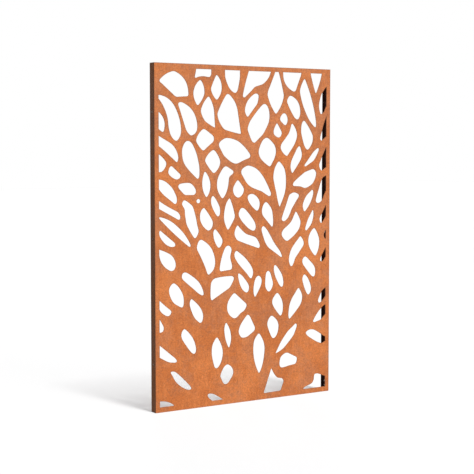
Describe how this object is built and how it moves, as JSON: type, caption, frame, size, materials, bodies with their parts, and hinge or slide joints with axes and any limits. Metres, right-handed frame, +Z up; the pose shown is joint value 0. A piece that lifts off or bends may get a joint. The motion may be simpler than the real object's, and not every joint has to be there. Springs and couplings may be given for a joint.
{
  "type": "laser cut metal screen",
  "caption": "Free-standing weathering steel screen: a sheet with a cut-out leaf pattern on a mitred frame of folded channels, for privacy or as a garden divider.",
  "frame": {"origin": "middle of the foot: the centre of the width and of the depth, at the floor", "axes": "+Z up, the cut face looks towards -Y, +X to the right as seen from the front"},
  "size_m": [1.1, 0.05, 1.8],
  "materials": {
    "face_patina": "matt orange rust patina of weathering steel",
    "frame_patina": "matt dark brown rust patina of weathering steel",
    "stainless": "plain stainless steel"
  },
  "bodies": {
    "root": {"face_sheet": "face_patina", "left_stile": "frame_patina", "right_stile": "frame_patina", "top_rail": "frame_patina", "bottom_rail": "frame_patina", "top_left_cleat": "frame_patina", "top_right_cleat": "frame_patina", "bottom_left_cleat": "frame_patina", "bottom_right_cleat": "frame_patina", "left_face_studs": "stainless", "right_face_studs": "stainless", "top_face_studs": "stainless", "bottom_face_studs": "stainless", "left_face_nuts": "stainless", "right_face_nuts": "stainless", "top_face_nuts": "stainless", "bottom_face_nuts": "stainless", "top_left_cleat_studs": "stainless", "top_right_cleat_studs": "stainless", "bottom_left_cleat_studs": "stainless", "bottom_right_cleat_studs": "stainless", "top_left_cleat_nuts": "stainless", "top_right_cleat_nuts": "stainless", "bottom_left_cleat_nuts": "stainless", "bottom_right_cleat_nuts": "stainless", "left_inserts": "stainless", "right_inserts": "stainless"}
  },
  "joints": []
}
